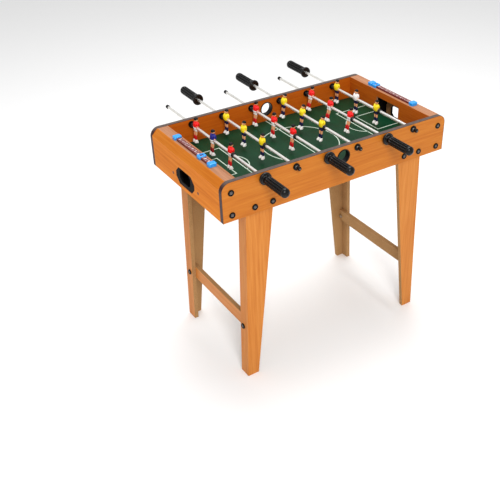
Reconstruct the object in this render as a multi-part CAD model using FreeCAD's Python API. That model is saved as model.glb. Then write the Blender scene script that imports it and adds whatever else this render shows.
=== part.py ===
import FreeCAD, Part
import math
import os

from FreeCAD import Vector

# Foosball table for children: six rods with three players each, on four legs.
# X runs along the table, Y from the front long side to the back, Z is up.
# The origin is on the floor, under the middle of the table. Millimetres.

# Driving dimensions
TABLE_LENGTH = 690.0
TABLE_WIDTH = 370.0
TABLE_HEIGHT = 620.0
BODY_HEIGHT = 104.0
BOARD = 12.0                    # thickness of the side boards and the leg boards
CORNER_RADIUS = 24.0            # rounded top corners of the side boards
EDGE_BAND = 0.8                 # plastic edging on the ends and tops of the side boards
PITCH_TOP = 555.5
PLAYFIELD_THICKNESS = 4.0
ROD_HEIGHT = 606.0
ROD_SPACING = 92.5
ROD_COUNT = 6
PLAYER_SPACING = 90.5
REST_SHIFT = 57.0               # how far the rods rest towards the back from the middle of the table
EASED = 0.6                     # small rounding on the edges of the boards

# The end of the body, measured from the middle of the table along X
GOAL_WALL_FACE = 299.0
GOAL_WALL_THICKNESS = 6.0
PANEL_THICKNESS = 6.0           # outer end panel, below its nosing
NOSING_DEPTH = 17.5             # solid bevelled top of the outer end panel
NOSING_HEIGHT = 16.5
NOSING_BEVEL = 16.0
SLAT_TOP = 619.5
SLAT_THICKNESS = 6.0
GOAL_WIDTH = 96.0
GOAL_TOP = 601.0
GOAL_FLOOR = 527.0
GOAL_BOX_WALL = 2.0
GOAL_BOX_EAR = 20.0             # width and height of the screw ears beside the goal box
GOAL_BOX_EAR_HEIGHT = 14.0
END_WALL_RAISE = 2.0            # the goal wall and cleats end this far above the body's bottom
HEX_CENTRE = 550.0
HEX_HALF_WIDTH = 48.0
HEX_HALF_HEIGHT = 23.0
HEX_CHAMFER = 16.0
RETURN_HALF_WIDTH = 27.0        # clear opening inside the hexagonal plate
RETURN_HALF_HEIGHT = 17.0
RETURN_RISE = 5.0               # the opening's middle above the plate's middle
RETURN_CHAMFER = 8.0
PLATE_THICKNESS = 1.2
RETURN_WALL = 1.2

# Fixings
BOLT_CAP_RADIUS = 8.0
BOLT_CAP_HEIGHT = 3.5
BOLT_CAP_ROUND = 2.8
BOLT_SHANK_RADIUS = 2.5
BOLT_HOLE_RADIUS = 2.6
END_BOLT_X = 320.0
END_BOLT_HEIGHTS = (532.5, 592.0)
LEG_BOLT_XS = (207.0, 257.5)
LEG_BOLT_HEIGHT = 534.0
NUT_HEIGHT = 4.0
NUT_ACROSS_CORNERS = 11.5
CLEAT_DEPTH = 20.0
GOAL_SCREW_Y = 65.5
GOAL_SCREW_HEIGHT = 543.0
GOAL_SCREW_HEAD_RADIUS = 4.0
GOAL_SCREW_HEAD_DEPTH = 2.2
GOAL_SCREW_RADIUS = 1.5
CLEAT_SKIN = 3.0                # wood left behind the end bolts' holes
BOLT_TIP_GAP = 1.0
LOOSE = 0.1                     # how much wider in radius a hole is than what it holds
PAST = 1.0                      # how far a cutter reaches past what it cuts
NEAR = 0.1                      # an edge this close to a face lies on it

# Legs: each is an L of two boards that leans out a little along X
LEG_TOP = PITCH_TOP - PLAYFIELD_THICKNESS
LEG_OUTER_TOP = 275.5
LEG_OUTER_FOOT = 294.0
LEG_INNER_TOP = 194.5
LEG_INNER_FOOT = 260.0
LEG_END_DEPTH = 36.0
STRETCHER_BOTTOM = 144.0
STRETCHER_TOP = 182.0
STRETCHER_BOLT_HEIGHT = 162.0
STRETCHER_BOLT_Y = 151.0

# Ball entry and bushings
ENTRY_X = 4.0
ENTRY_HEIGHT = 591.5
ENTRY_BORE_RADIUS = 17.0
ENTRY_SLEEVE_RADIUS = 18.0
ENTRY_FLANGE_RADIUS = 19.5
ENTRY_FLANGE = 1.5
BUSHING_BARREL_RADIUS = 7.0
BUSHING_FLANGE_RADIUS = 9.0
BUSHING_FLANGE_OUT = 3.0
BUSHING_FLANGE_IN = 4.0

# Rods, with each rod's parts given about the middle of its own slide
ROD_RADIUS = 4.0
ROD_WALL = 1.0
RUNNING = 0.05                  # radial clearance of the rods in the bushings and bumpers
SEATED = 0.03                   # radial clearance of what is fixed on the rods
BODY_GAP = 0.3                  # clearance between parts that move past each other
ROD_BARE_END = 257.0
ROD_HANDLE_END = 308.0
HANDLE_START = 248.0
HANDLE_LENGTH = 95.0
HANDLE_FLANGE_RADIUS = 16.0
HANDLE_FLANGE = 7.0
HANDLE_BEVEL = 1.5
HANDLE_NECK_RADIUS = 9.5
HANDLE_NECK = 3.0               # from the flange to the narrowest place
HANDLE_TAPER = 10.0             # from the flange to the full grip
HANDLE_GRIP_RADIUS = 12.0
HANDLE_DOME = 8.0
HANDLE_GROOVES = 12
HANDLE_GROOVE_RADIUS = 1.6
HANDLE_GROOVE_DEPTH = 0.8
HANDLE_GROOVE_INSET = 3.0
END_CAP_RADIUS = 5.2
END_CAP_LENGTH = 10.0
END_CAP_FLOOR = 2.0             # thickness over the end of the rod
END_CAP_ROUND = 2.0
BUMPER_RADIUS = 6.8
BUMPER_THICKNESS = 7.2
BUMPER_ROUND = 1.0
PLAYER_HALF_WIDTH = 10.5

# Forward lean of each rod's players, in degrees about +Y, from the left rod to the right
ROD_LEANS = (6.0, 4.0, 6.0, 9.0, 13.0, 1.5)

# Players, about the rod axis
BOOT_BOTTOM = -41.5
BOOT_TOP = -34.5
BOOT_BACK = -5.0
BOOT_TOE = 6.6
BOOT_HALF_WIDTH = 3.8
BOOT_ROUND = 2.2
BOOT_Y = 5.2
LEG_Y = 4.6
LEG_LEAN_BACK = 0.5             # the legs stand this far behind the rod
ANKLE_RADIUS = 2.9
THIGH_RADIUS = 3.9
HIPS_BOTTOM = -12.0
HIPS_HALF_DEPTH = 6.0
HIPS_HALF_WIDTH = 9.0
HIPS_ROUND = 3.0
TORSO = ((5.0, 9.0, 6.0), (11.5, 10.2, 7.0), (17.5, 6.5, 4.5))      # height, half width, half depth
ARM_BOTTOM = -1.0
ARM_LENGTH = 15.0
ARM_X = 1.0
ARM_Y = 7.9
HAND_RADIUS = 2.3
SHOULDER_RADIUS = 2.6
NECK_RADIUS = 3.0
NECK_BOTTOM = 14.0
NECK_LENGTH = 6.0
HEAD_FORWARD = 0.3
HEAD_CENTRE = 22.3
HEAD_RADIUS = 6.2

# Score counter on each end
SCORE_X = 314.0
SCORE_BAR_WIDTH = 13.0
SCORE_BAR_HEIGHT = 5.0
SCORE_BAR_HALF = 80.5
SCORE_CAP_SIZE = (21.0, 17.0, 8.5)
SLIDER_SIZE = (21.0, 17.0, 7.5)
SLIDER_WINDOW = (10.0, 9.0)
BLOCK_CORNER = 4.5              # rounding of the caps' and sliders' upright edges
BLOCK_TOP_ROUND = 2.0
LEFT_SLIDER_Y = -39.0
RIGHT_SLIDER_Y = 70.5

# Derived
HALF_LENGTH = TABLE_LENGTH / 2
HALF_WIDTH = TABLE_WIDTH / 2
INNER_Y = HALF_WIDTH - BOARD
BODY_BOTTOM = TABLE_HEIGHT - BODY_HEIGHT
PANEL_INNER = HALF_LENGTH - PANEL_THICKNESS
SLAT_OUTER = HALF_LENGTH - NOSING_DEPTH
GOAL_WALL_BACK = GOAL_WALL_FACE + GOAL_WALL_THICKNESS
ROD_XS = [(i - (ROD_COUNT - 1) / 2) * ROD_SPACING for i in range(ROD_COUNT)]

X_AXIS = Vector(1, 0, 0)
Y_AXIS = Vector(0, 1, 0)
Z_AXIS = Vector(0, 0, 1)


def box(x0, x1, y0, y1, z0, z1):
    return Part.makeBox(x1 - x0, y1 - y0, z1 - z0, Vector(x0, y0, z0))


def rod_along_y(radius, x, z, y0, y1):
    return Part.makeCylinder(radius, y1 - y0, Vector(x, y0, z), Y_AXIS)


def rod_along_x(radius, y, z, x0, x1):
    return Part.makeCylinder(radius, x1 - x0, Vector(x0, y, z), X_AXIS)


def prism_along_y(outline, y0, y1):
    """Solid from a closed outline of (x, z) points, between two heights in Y."""
    points = [Vector(x, y0, z) for x, z in outline]
    face = Part.Face(Part.makePolygon(points + points[:1]))
    return face.extrude(Vector(0, y1 - y0, 0))


def prism_along_x(outline, x0, x1):
    """Solid from a closed outline of (y, z) points, between two places in X."""
    points = [Vector(x0, y, z) for y, z in outline]
    face = Part.Face(Part.makePolygon(points + points[:1]))
    return face.extrude(Vector(x1 - x0, 0, 0))


def eased(solid, radius=EASED):
    """The solid with all its edges slightly rounded."""
    return solid.makeFillet(radius, solid.Edges)


def edges_along(solid, direction):
    """The straight edges of a solid that run along one axis."""
    found = []
    for edge in solid.Edges:
        if isinstance(edge.Curve, Part.Line) and abs(edge.Curve.Direction.dot(direction)) > 0.999:
            found.append(edge)
    return found


def mirrored(solid, normal):
    return solid.mirror(Vector(0, 0, 0), normal)


def save(node, *solids):
    shape = solids[0] if len(solids) == 1 else Part.makeCompound(list(solids))
    shape.exportStep(f"parts/{node}.step")


def side_outline(inset, y0, y1):
    """Side board with rounded top corners, smaller by inset at its ends and top."""
    half = HALF_LENGTH - inset
    top = TABLE_HEIGHT - inset
    radius = CORNER_RADIUS - inset
    slope = radius * math.sqrt(0.5)
    left, right = -half + radius, half - radius
    shoulder = top - radius
    corners = [(-half, BODY_BOTTOM), (-half, shoulder), (left, top),
               (right, top), (half, shoulder), (half, BODY_BOTTOM)]
    points = [Vector(x, y0, z) for x, z in corners]
    left_middle = Vector(left - slope, y0, shoulder + slope)
    right_middle = Vector(right + slope, y0, shoulder + slope)
    edges = [
        Part.makeLine(points[0], points[1]),
        Part.Arc(points[1], left_middle, points[2]).toShape(),
        Part.makeLine(points[2], points[3]),
        Part.Arc(points[3], right_middle, points[4]).toShape(),
        Part.makeLine(points[4], points[5]),
        Part.makeLine(points[5], points[0]),
    ]
    return Part.Face(Part.Wire(edges)).extrude(Vector(0, y1 - y0, 0))


def side_bolt_places():
    """X and Z of the capped bolts in one side board."""
    places = [(side * END_BOLT_X, z) for side in (-1, 1) for z in END_BOLT_HEIGHTS]
    return places + [(side * x, LEG_BOLT_HEIGHT) for side in (-1, 1) for x in LEG_BOLT_XS]


def front_side_board():
    y0, y1 = -HALF_WIDTH, -INNER_Y
    board = side_outline(EDGE_BAND, y0, y1)
    for x, z in side_bolt_places():
        board = board.cut(rod_along_y(BOLT_HOLE_RADIUS, x, z, y0 - PAST, y1 + PAST))
    for x in ROD_XS:
        board = board.cut(rod_along_y(BUSHING_BARREL_RADIUS + LOOSE, x, ROD_HEIGHT, y0 - PAST, y1 + PAST))
    return board.cut(rod_along_y(ENTRY_SLEEVE_RADIUS + LOOSE, ENTRY_X, ENTRY_HEIGHT, y0 - PAST, y1 + PAST))


def edge_band():
    """Plastic edging of the front board: round both ends and over the top."""
    y0, y1 = -HALF_WIDTH, -INNER_Y
    return side_outline(0, y0, y1).cut(side_outline(EDGE_BAND, y0 - PAST, y1 + PAST))


def cut_corner_prism(wide, high, cut, middle, x0, x1):
    """Prism along X: a rectangle of the given half width and half height with its corners cut off."""
    outline = [(-wide, -high + cut), (-wide + cut, -high), (wide - cut, -high), (wide, -high + cut),
               (wide, high - cut), (wide - cut, high), (-wide + cut, high), (-wide, high - cut)]
    return prism_along_x([(y, middle + z) for y, z in outline], x0, x1)


def return_opening(wider, x0, x1):
    """Prism of the clear opening through the end panel, larger all round by wider."""
    return cut_corner_prism(RETURN_HALF_WIDTH + wider, RETURN_HALF_HEIGHT + wider, RETURN_CHAMFER,
                            HEX_CENTRE + RETURN_RISE, x0, x1)


def nosing_block():
    """Square block in the place of the end panel's nosing."""
    return box(SLAT_OUTER, HALF_LENGTH, -INNER_Y, INNER_Y, SLAT_TOP - NOSING_HEIGHT, SLAT_TOP)


def right_outer_end_panel():
    """Thin end panel with a solid nosing on top, a recess and opening for the return, and screw holes."""
    face = HALF_LENGTH
    panel = box(PANEL_INNER, face, -INNER_Y, INNER_Y, BODY_BOTTOM, SLAT_TOP)
    panel = panel.fuse(nosing_block()).removeSplitter()
    top_edges = [e for e in edges_along(panel, Y_AXIS)
                 if e.CenterOfMass.z > SLAT_TOP - NEAR and e.CenterOfMass.x > face - NEAR]
    panel = panel.makeChamfer(NOSING_BEVEL, top_edges)
    panel = panel.cut(cut_corner_prism(HEX_HALF_WIDTH, HEX_HALF_HEIGHT, HEX_CHAMFER, HEX_CENTRE,
                                       face - PLATE_THICKNESS, face + PAST))
    panel = panel.cut(return_opening(RETURN_WALL, PANEL_INNER - PAST, face + PAST))
    for y in (-GOAL_SCREW_Y, GOAL_SCREW_Y):
        panel = panel.cut(goal_screw(y, LOOSE))
    return panel


def goal_screw(y, looser=0.0):
    """Countersunk wood screw in the right end panel, with an optional larger radius for its hole."""
    neck = HALF_LENGTH - GOAL_SCREW_HEAD_DEPTH
    start = PANEL_INNER - GOAL_BOX_WALL
    head = Part.makeCone(GOAL_SCREW_RADIUS + looser, GOAL_SCREW_HEAD_RADIUS + looser, GOAL_SCREW_HEAD_DEPTH,
                         Vector(neck, y, GOAL_SCREW_HEIGHT), X_AXIS)
    return head.fuse(rod_along_x(GOAL_SCREW_RADIUS + looser, y, GOAL_SCREW_HEIGHT, start, neck))


def right_goal_wall():
    """Thin board at the end of the pitch, with the goal mouth cut out."""
    x0, x1 = GOAL_WALL_FACE, GOAL_WALL_BACK
    wall = box(x0, x1, -INNER_Y, INNER_Y, BODY_BOTTOM + END_WALL_RAISE, SLAT_TOP)
    half = GOAL_WIDTH / 2
    return wall.cut(box(x0 - PAST, x1 + PAST, -half, half, PITCH_TOP, GOAL_TOP))


def right_goal_box():
    """Black plastic box between the goal mouth and the end panel, with a screw ear on each side."""
    half = GOAL_WIDTH / 2
    outer = half + GOAL_BOX_WALL
    shape = box(GOAL_WALL_BACK, PANEL_INNER, -outer, outer,
                GOAL_FLOOR - GOAL_BOX_WALL, GOAL_TOP + GOAL_BOX_WALL)
    shape = shape.cut(box(GOAL_WALL_BACK - PAST, PANEL_INNER + PAST, -half, half, GOAL_FLOOR, GOAL_TOP))
    ear_start = PANEL_INNER - GOAL_BOX_WALL
    low = GOAL_SCREW_HEIGHT - GOAL_BOX_EAR_HEIGHT / 2
    for side in (-1, 1):
        y0, y1 = sorted((side * outer, side * (outer + GOAL_BOX_EAR)))
        ear = box(ear_start, PANEL_INNER, y0, y1, low, low + GOAL_BOX_EAR_HEIGHT)
        hole = rod_along_x(GOAL_SCREW_RADIUS + LOOSE, side * GOAL_SCREW_Y, GOAL_SCREW_HEIGHT,
                           ear_start - PAST, PANEL_INNER + PAST)
        shape = shape.fuse(ear.cut(hole))
    return shape.removeSplitter()


def right_return_plate():
    """Black hexagonal plate set flush in the end panel, with a short sleeve round its opening."""
    face = HALF_LENGTH
    plate = cut_corner_prism(HEX_HALF_WIDTH, HEX_HALF_HEIGHT, HEX_CHAMFER, HEX_CENTRE,
                             face - PLATE_THICKNESS, face)
    plate = plate.fuse(return_opening(RETURN_WALL, PANEL_INNER, face))
    return plate.cut(return_opening(0, PANEL_INNER - PAST, face + PAST))


def end_cleat():
    """Corner block in the front right corner that the end bolts screw into."""
    x0, x1 = GOAL_WALL_BACK, PANEL_INNER
    y0, y1 = -INNER_Y, -INNER_Y + CLEAT_DEPTH
    cleat = box(x0, x1, y0, y1, BODY_BOTTOM + END_WALL_RAISE, SLAT_TOP - SLAT_THICKNESS)
    cleat = cleat.cut(nosing_block())
    for z in END_BOLT_HEIGHTS:
        cleat = cleat.cut(rod_along_y(BOLT_HOLE_RADIUS, END_BOLT_X, z, y0 - PAST, y1 - CLEAT_SKIN))
    return cleat


def four_corners(solid):
    """The solid of the front right corner and its copies in the other three corners."""
    back = mirrored(solid, Y_AXIS)
    return [solid, back, mirrored(solid, X_AXIS), mirrored(back, X_AXIS)]


def playfield():
    x, y = GOAL_WALL_FACE, INNER_Y
    return box(-x, x, -y, y, PITCH_TOP - PLAYFIELD_THICKNESS, PITCH_TOP)


def capped_bolt(length):
    """Bolt along Z with its cap's flat face at the origin: a black dome above and the shank below."""
    cap = Part.makeCylinder(BOLT_CAP_RADIUS, BOLT_CAP_HEIGHT)
    rim = [e for e in cap.Edges if e.BoundBox.ZMin > BOLT_CAP_HEIGHT - NEAR]
    cap = cap.makeFillet(BOLT_CAP_ROUND, rim)
    return cap.fuse(Part.makeCylinder(BOLT_SHANK_RADIUS, length, Vector(0, 0, -length)))


def hex_nut(depth):
    """Nut along Z that starts at a depth below the origin and goes further down."""
    radius = NUT_ACROSS_CORNERS / 2
    angles = [math.radians(60 * i) for i in range(7)]
    rim = Part.makePolygon([Vector(radius * math.cos(a), radius * math.sin(a), -depth) for a in angles])
    nut = Part.Face(rim).extrude(Vector(0, 0, -NUT_HEIGHT))
    return nut.cut(Part.makeCylinder(BOLT_SHANK_RADIUS + RUNNING, depth + 2 * NUT_HEIGHT,
                                     Vector(0, 0, -depth - 2 * NUT_HEIGHT)))


def on_front_board(solid, x, z):
    """Turn a fixing's +Z to point out of the front board, and place it there."""
    placed = solid.copy()
    placed.rotate(Vector(0, 0, 0), X_AXIS, 90)
    placed.translate(Vector(x, -HALF_WIDTH, z))
    return placed


def side_board_bolts():
    """The sixteen capped bolts of the two side boards."""
    end_length = BOARD + CLEAT_DEPTH - CLEAT_SKIN - BOLT_TIP_GAP
    leg_length = 2 * BOARD + NUT_HEIGHT
    bolts = []
    for x, z in side_bolt_places():
        bolt = on_front_board(capped_bolt(end_length if abs(x) > LEG_OUTER_TOP else leg_length), x, z)
        bolts += [bolt, mirrored(bolt, Y_AXIS)]
    return bolts


def leg_edge(top, foot, z):
    """X of a leg edge that runs straight from the top of the leg to its foot, at height z."""
    return foot + (top - foot) * z / LEG_TOP


def on_right_leg(solid):
    """Turn a fixing's +Z square out of the leaning end board, and place it at the stretcher's bolt."""
    placed = solid.copy()
    lean = math.degrees(math.atan2(LEG_OUTER_FOOT - LEG_OUTER_TOP, LEG_TOP))
    placed.rotate(Vector(0, 0, 0), Y_AXIS, 90 - lean)
    face = leg_edge(LEG_OUTER_TOP, LEG_OUTER_FOOT, STRETCHER_BOLT_HEIGHT)
    placed.translate(Vector(face, -STRETCHER_BOLT_Y, STRETCHER_BOLT_HEIGHT))
    return placed


def stretcher_bolt_hole():
    """Cutter for the bolt hole through the front right leg and the stretcher."""
    reach = 3 * BOARD
    return on_right_leg(Part.makeCylinder(BOLT_HOLE_RADIUS, 2 * reach, Vector(0, 0, -reach)))


def front_right_leg():
    """A tapering side board and an end board behind its outer edge, which make an L."""
    y0, y1 = -INNER_Y, -INNER_Y + BOARD
    side = prism_along_y([(LEG_INNER_FOOT, 0), (LEG_OUTER_FOOT, 0),
                          (LEG_OUTER_TOP, LEG_TOP), (LEG_INNER_TOP, LEG_TOP)], y0, y1)
    side = eased(side)
    for x in LEG_BOLT_XS:
        side = side.cut(rod_along_y(BOLT_HOLE_RADIUS, x, LEG_BOLT_HEIGHT, y0 - PAST, y1 + PAST))
    end = prism_along_y([(LEG_OUTER_FOOT - BOARD, 0), (LEG_OUTER_FOOT, 0),
                         (LEG_OUTER_TOP, LEG_TOP), (LEG_OUTER_TOP - BOARD, LEG_TOP)],
                        y1, -INNER_Y + LEG_END_DEPTH)
    return [side, eased(end).cut(stretcher_bolt_hole())]


def right_stretcher():
    """Board across the end, flat against the inner faces of the two end boards."""
    low, high = STRETCHER_BOTTOM, STRETCHER_TOP
    low_x = leg_edge(LEG_OUTER_TOP, LEG_OUTER_FOOT, low) - BOARD
    high_x = leg_edge(LEG_OUTER_TOP, LEG_OUTER_FOOT, high) - BOARD
    reach = INNER_Y - BOARD
    board = prism_along_y([(low_x - BOARD, low), (low_x, low), (high_x, high), (high_x - BOARD, high)],
                          -reach, reach)
    hole = stretcher_bolt_hole()
    return eased(board).cut(hole).cut(mirrored(hole, Y_AXIS))


def stretcher_bolts():
    """Bolts through the end boards and the stretchers, capped outside."""
    return four_corners(on_right_leg(capped_bolt(2 * BOARD + NUT_HEIGHT)))


def nuts():
    """Nuts on the inside of the legs and the stretchers."""
    nut = hex_nut(2 * BOARD)
    found = four_corners(on_right_leg(nut))
    for x in LEG_BOLT_XS:
        found += four_corners(on_front_board(nut, x, LEG_BOLT_HEIGHT))
    return found


def front_ball_entry_ring():
    y0, y1 = -HALF_WIDTH, -INNER_Y
    sleeve = rod_along_y(ENTRY_SLEEVE_RADIUS, ENTRY_X, ENTRY_HEIGHT, y0, y1)
    outside = rod_along_y(ENTRY_FLANGE_RADIUS, ENTRY_X, ENTRY_HEIGHT, y0 - ENTRY_FLANGE, y0)
    inside = rod_along_y(ENTRY_FLANGE_RADIUS, ENTRY_X, ENTRY_HEIGHT, y1, y1 + ENTRY_FLANGE)
    bore = rod_along_y(ENTRY_BORE_RADIUS, ENTRY_X, ENTRY_HEIGHT,
                       y0 - ENTRY_FLANGE - PAST, y1 + ENTRY_FLANGE + PAST)
    return sleeve.fuse(outside).fuse(inside).cut(bore)


def front_bushing(x):
    """Flanged plastic bushing of one rod in the front board."""
    y0, y1 = -HALF_WIDTH, -INNER_Y
    barrel = rod_along_y(BUSHING_BARREL_RADIUS, x, ROD_HEIGHT, y0, y1)
    outside = rod_along_y(BUSHING_FLANGE_RADIUS, x, ROD_HEIGHT, y0 - BUSHING_FLANGE_OUT, y0)
    inside = rod_along_y(BUSHING_FLANGE_RADIUS, x, ROD_HEIGHT, y1, y1 + BUSHING_FLANGE_IN)
    bore = rod_along_y(ROD_RADIUS + RUNNING, x, ROD_HEIGHT,
                       y0 - BUSHING_FLANGE_OUT - PAST, y1 + BUSHING_FLANGE_IN + PAST)
    return barrel.fuse(outside).fuse(inside).cut(bore)


def right_top_slat():
    """Plain wooden slat between the goal wall and the nosing, which carries the score counter."""
    x0, x1 = GOAL_WALL_BACK, SLAT_OUTER
    return eased(box(x0, x1, -INNER_Y, INNER_Y, SLAT_TOP - SLAT_THICKNESS, SLAT_TOP))


def score_scale():
    """Raised bar with the numbers, on the right slat."""
    half = SCORE_BAR_WIDTH / 2
    return box(SCORE_X - half, SCORE_X + half, -SCORE_BAR_HALF, SCORE_BAR_HALF,
               SLAT_TOP, SLAT_TOP + SCORE_BAR_HEIGHT)


def rounded_block(x, y, size, z):
    """Block with rounded upright edges and a rounded top."""
    wide, deep, high = size
    block = box(x - wide / 2, x + wide / 2, y - deep / 2, y + deep / 2, z, z + high)
    block = block.makeFillet(BLOCK_CORNER, edges_along(block, Z_AXIS))
    top = [e for e in block.Edges if e.BoundBox.ZMin > z + high - NEAR]
    return block.makeFillet(BLOCK_TOP_ROUND, top)


def score_end_caps():
    """Blue stops at both ends of the right scale."""
    middle = SCORE_BAR_HALF + SCORE_CAP_SIZE[1] / 2
    return [rounded_block(SCORE_X, y, SCORE_CAP_SIZE, SLAT_TOP) for y in (-middle, middle)]


def score_slider(y):
    """Blue saddle that slides along the scale with a small clearance, and shows one number in its window."""
    block = rounded_block(SCORE_X, y, SLIDER_SIZE, SLAT_TOP + BODY_GAP)
    long, high = SLIDER_SIZE[1:]
    half = SCORE_BAR_WIDTH / 2 + BODY_GAP
    slot = box(SCORE_X - half, SCORE_X + half, y - long, y + long,
               SLAT_TOP - PAST, SLAT_TOP + SCORE_BAR_HEIGHT + BODY_GAP)
    wide, deep = SLIDER_WINDOW
    window = box(SCORE_X - wide / 2, SCORE_X + wide / 2, y - deep / 2, y + deep / 2,
                 SLAT_TOP, SLAT_TOP + 2 * high)
    return block.cut(slot).cut(window)


def rod_tube():
    """Steel tube along Y, about the middle of its slide, with its handle end at the front."""
    tube = rod_along_y(ROD_RADIUS, 0, 0, -ROD_HANDLE_END, ROD_BARE_END)
    return tube.cut(rod_along_y(ROD_RADIUS - ROD_WALL, 0, 0, -ROD_HANDLE_END - PAST, ROD_BARE_END + PAST))


def handle_body():
    """Turned shape of the handle: flange towards the table, neck, grip and domed end."""
    start = -HANDLE_START
    end = start - HANDLE_LENGTH
    neck_start = start - HANDLE_FLANGE
    bevelled = HANDLE_FLANGE_RADIUS - HANDLE_BEVEL
    corners = [(0, start), (bevelled, start), (HANDLE_FLANGE_RADIUS, start - HANDLE_BEVEL),
               (HANDLE_FLANGE_RADIUS, neck_start + HANDLE_BEVEL), (bevelled, neck_start),
               (HANDLE_NECK_RADIUS, neck_start - HANDLE_NECK),
               (HANDLE_GRIP_RADIUS, neck_start - HANDLE_TAPER), (HANDLE_GRIP_RADIUS, end + HANDLE_DOME)]
    points = [Vector(radius, y, 0) for radius, y in corners]
    edges = [Part.makeLine(a, b) for a, b in zip(points, points[1:])]
    dome_radius = (HANDLE_GRIP_RADIUS ** 2 + HANDLE_DOME ** 2) / (2 * HANDLE_DOME)
    half_turn = math.asin(HANDLE_GRIP_RADIUS / dome_radius) / 2
    middle = Vector(dome_radius * math.sin(half_turn), end + dome_radius * (1 - math.cos(half_turn)), 0)
    tip = Vector(0, end, 0)
    edges.append(Part.Arc(points[-1], middle, tip).toShape())
    edges.append(Part.makeLine(tip, points[0]))
    return Part.Face(Part.Wire(edges)).revolve(Vector(0, 0, 0), Y_AXIS, 360)


def handle():
    """Black plastic handle with grooves along the grip and a blind bore for the rod."""
    grip = handle_body()
    first = -HANDLE_START - HANDLE_FLANGE - HANDLE_TAPER - HANDLE_GROOVE_INSET
    last = -HANDLE_START - HANDLE_LENGTH + 2 * HANDLE_DOME
    reach = HANDLE_GRIP_RADIUS - HANDLE_GROOVE_DEPTH + HANDLE_GROOVE_RADIUS
    for i in range(HANDLE_GROOVES):
        groove = rod_along_y(HANDLE_GROOVE_RADIUS, 0, reach, last, first)
        for y in (first, last):
            groove = groove.fuse(Part.makeSphere(HANDLE_GROOVE_RADIUS, Vector(0, y, reach)))
        groove.rotate(Vector(0, 0, 0), Y_AXIS, 360 * i / HANDLE_GROOVES)
        grip = grip.cut(groove)
    return grip.cut(rod_along_y(ROD_RADIUS + SEATED, 0, 0, -ROD_HANDLE_END, -HANDLE_START + PAST))


def end_cap():
    """Black cap over the bare end of the rod."""
    end = ROD_BARE_END + END_CAP_FLOOR
    cap = rod_along_y(END_CAP_RADIUS, 0, 0, end - END_CAP_LENGTH, end)
    rim = [e for e in cap.Edges if e.CenterOfMass.y > end - NEAR and len(e.Vertexes) == 1]
    cap = cap.makeFillet(END_CAP_ROUND, rim)
    return cap.cut(rod_along_y(ROD_RADIUS + SEATED, 0, 0, end - END_CAP_LENGTH - PAST, ROD_BARE_END))


def bumper(side):
    """Rubber ring beside the last player on one side."""
    inner = PLAYER_SPACING + PLAYER_HALF_WIDTH + BODY_GAP
    y0, y1 = sorted((side * inner, side * (inner + BUMPER_THICKNESS)))
    ring = eased(rod_along_y(BUMPER_RADIUS, 0, 0, y0, y1), BUMPER_ROUND)
    return ring.cut(rod_along_y(ROD_RADIUS + RUNNING, 0, 0, y0 - PAST, y1 + PAST))


def oval_loft(sections):
    """Smooth body through ovals, each given as its height, half width in Y and half depth in X."""
    wires = []
    for z, half_y, half_x in sections:
        ellipse = Part.Ellipse(Vector(0, 0, z), max(half_y, half_x), min(half_y, half_x))
        wire = Part.Wire([ellipse.toShape()])
        if half_y > half_x:
            wire.rotate(Vector(0, 0, z), Z_AXIS, 90)
        wires.append(wire)
    return Part.makeLoft(wires, True, True)


def player(y, facing):
    """One player with joined legs, on the rod axis, facing +X or -X."""
    waist = TORSO[0][0]
    hips = box(-HIPS_HALF_DEPTH, HIPS_HALF_DEPTH, -HIPS_HALF_WIDTH, HIPS_HALF_WIDTH, HIPS_BOTTOM, waist)
    hips = hips.makeFillet(HIPS_ROUND, edges_along(hips, Z_AXIS))
    shape = hips.fuse(oval_loft(TORSO))
    leg_length = HIPS_BOTTOM + PAST - BOOT_TOP
    for side in (-1, 1):
        leg = Part.makeCone(ANKLE_RADIUS, THIGH_RADIUS, leg_length,
                            Vector(-LEG_LEAN_BACK, side * LEG_Y, BOOT_TOP), Z_AXIS)
        middle = side * BOOT_Y
        boot = box(BOOT_BACK, BOOT_TOE, middle - BOOT_HALF_WIDTH, middle + BOOT_HALF_WIDTH,
                   BOOT_BOTTOM, BOOT_TOP)
        boot = boot.makeFillet(BOOT_ROUND, edges_along(boot, Z_AXIS))
        arm = Part.makeCone(HAND_RADIUS, SHOULDER_RADIUS, ARM_LENGTH,
                            Vector(ARM_X, side * ARM_Y, ARM_BOTTOM), Z_AXIS)
        shape = shape.fuse(leg).fuse(boot).fuse(arm)
    shape = shape.fuse(Part.makeCylinder(NECK_RADIUS, NECK_LENGTH, Vector(0, 0, NECK_BOTTOM), Z_AXIS))
    shape = shape.fuse(Part.makeSphere(HEAD_RADIUS, Vector(HEAD_FORWARD, 0, HEAD_CENTRE)))
    shape = shape.cut(rod_along_y(ROD_RADIUS + SEATED, 0, 0, -2 * ARM_Y, 2 * ARM_Y))
    if facing < 0:
        shape.rotate(Vector(0, 0, 0), Z_AXIS, 180)
    shape.translate(Vector(0, y, 0))
    return shape


def place_on_rod(solid, index):
    """Move a part from the rod's own place to rest: turned round, leaning, and slid to the back."""
    handle_at_back = index % 2 == 1
    placed = mirrored(solid, Y_AXIS) if handle_at_back else solid.copy()
    placed.rotate(Vector(0, 0, 0), Y_AXIS, ROD_LEANS[index])
    placed.translate(Vector(ROD_XS[index], REST_SHIFT, ROD_HEIGHT))
    return placed


def save_rods():
    """Odd rods from the left have handles at the front, even rods at the back."""
    for index in range(ROD_COUNT):
        name = f"rod_{index + 1}"
        facing = 1 if index % 2 == 0 else -1
        players = [player(row * PLAYER_SPACING, facing) for row in (-1, 0, 1)]
        save(f"{name}_tube", place_on_rod(rod_tube(), index))
        save(f"{name}_handle", place_on_rod(handle(), index))
        save(f"{name}_end_cap", place_on_rod(end_cap(), index))
        save(f"{name}_players", *[place_on_rod(p, index) for p in players])
        save(f"{name}_bumpers", *[place_on_rod(bumper(side), index) for side in (-1, 1)])


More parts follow.
